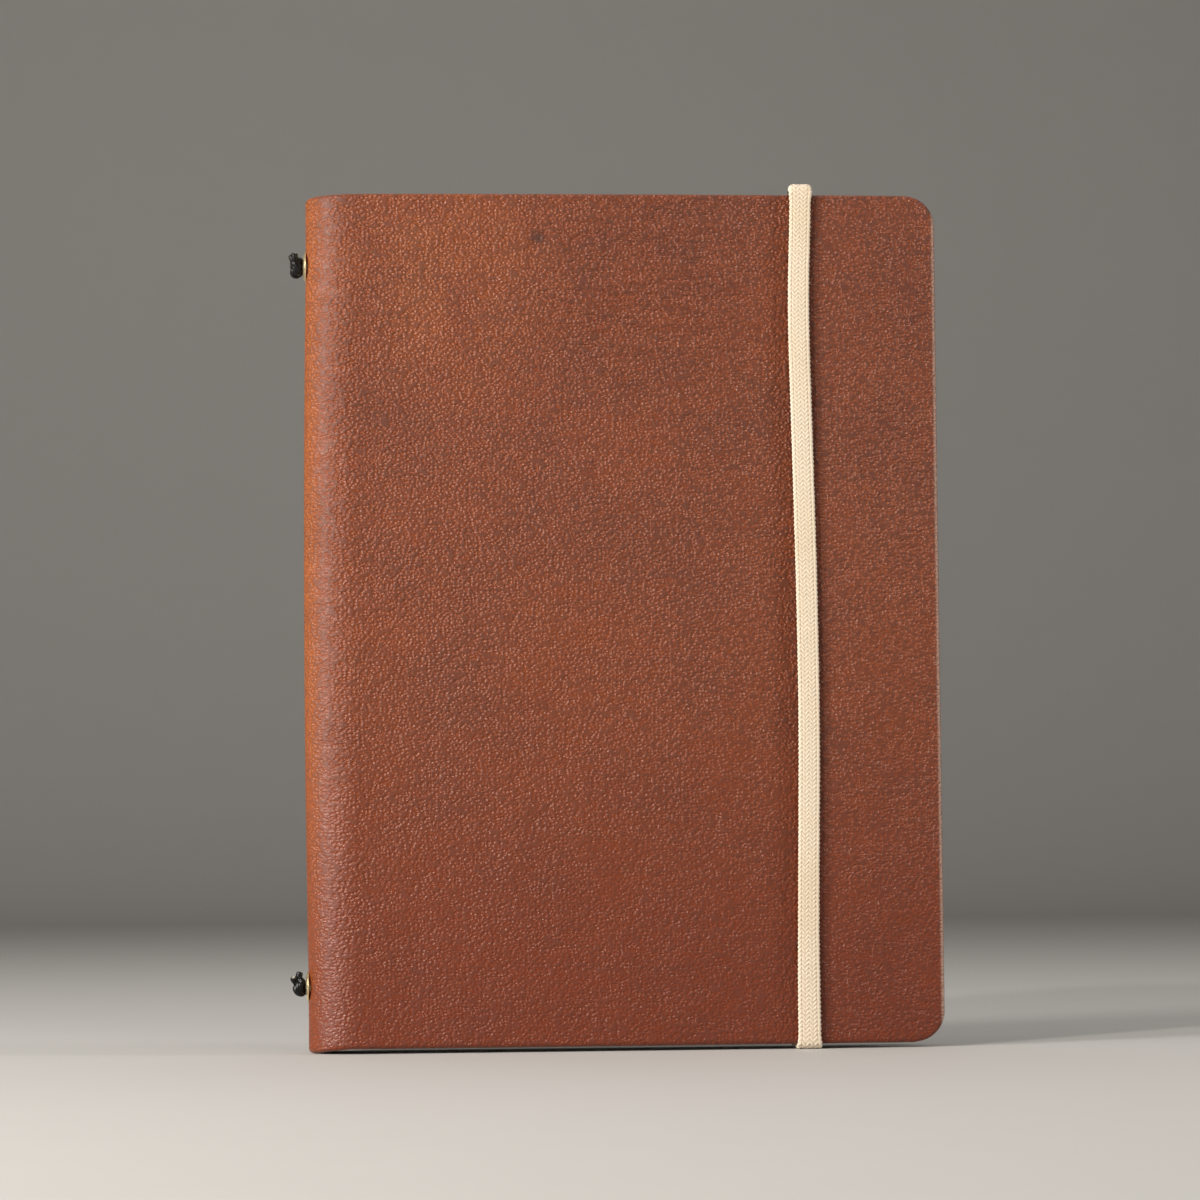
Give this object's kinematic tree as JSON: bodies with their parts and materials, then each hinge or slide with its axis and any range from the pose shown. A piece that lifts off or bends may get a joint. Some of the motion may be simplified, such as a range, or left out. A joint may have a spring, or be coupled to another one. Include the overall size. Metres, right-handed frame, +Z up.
{
  "type": "leather notebook cover",
  "caption": "Leather notebook cover folded round a stapled paper refill, held shut by a flat braided elastic band; a knotted round cord through brass spine eyelets holds the refill.",
  "frame": {"origin": "middle of the footprint of the closed book, on the surface it stands on", "axes": "+Z up along the spine, +X from the spine to the fore-edge, the front cover faces -Y"},
  "size_m": [0.1188, 0.014, 0.1583],
  "materials": {
    "leather": "satin pull-up leather with fine pebble grain",
    "eyelet_brass": "polished",
    "cord": "braided round elastic",
    "band": "flat herringbone braid",
    "band_thread": "sewing thread",
    "card": "matt kraft",
    "pages": "matt",
    "staple_wire": "drawn wire"
  },
  "bodies": {
    "back_cover": {"back_cover": "leather", "refill_back_card": "card", "refill_back_pages": "pages"},
    "spine": {"spine": "leather", "upper_eyelet": "eyelet_brass", "lower_eyelet": "eyelet_brass", "upper_eyelet_washer": "eyelet_brass", "lower_eyelet_washer": "eyelet_brass", "refill_cord": "cord", "upper_knot": "cord", "lower_knot": "cord", "refill_card_fold": "card", "refill_page_folds": "pages", "upper_staple": "staple_wire", "lower_staple": "staple_wire"},
    "front_cover": {"front_cover": "leather", "refill_front_card": "card", "refill_front_pages": "pages"},
    "closure_band": {"closure_band": "band", "band_stitching": "band_thread"}
  },
  "joints": [
    {"name": "back_fold", "type": "hinge", "parent": "back_cover", "child": "spine", "pos_m": [-0.05403, 0.00495, 0.07855], "axis": [0, 0, -1], "range_deg": [0, 90]},
    {"name": "front_fold", "type": "hinge", "parent": "spine", "child": "front_cover", "pos_m": [-0.05403, -0.00495, 0.07855], "axis": [0, 0, -1], "range_deg": [0, 90]},
    {"name": "band_slide", "type": "slide", "parent": "back_cover", "child": "closure_band", "axis": [1, 0, 0], "range_m": [0, 0.03]}
  ],
  "couplings": [
    {"joint": "front_fold", "follows": "back_fold", "ratio": 1}
  ]
}
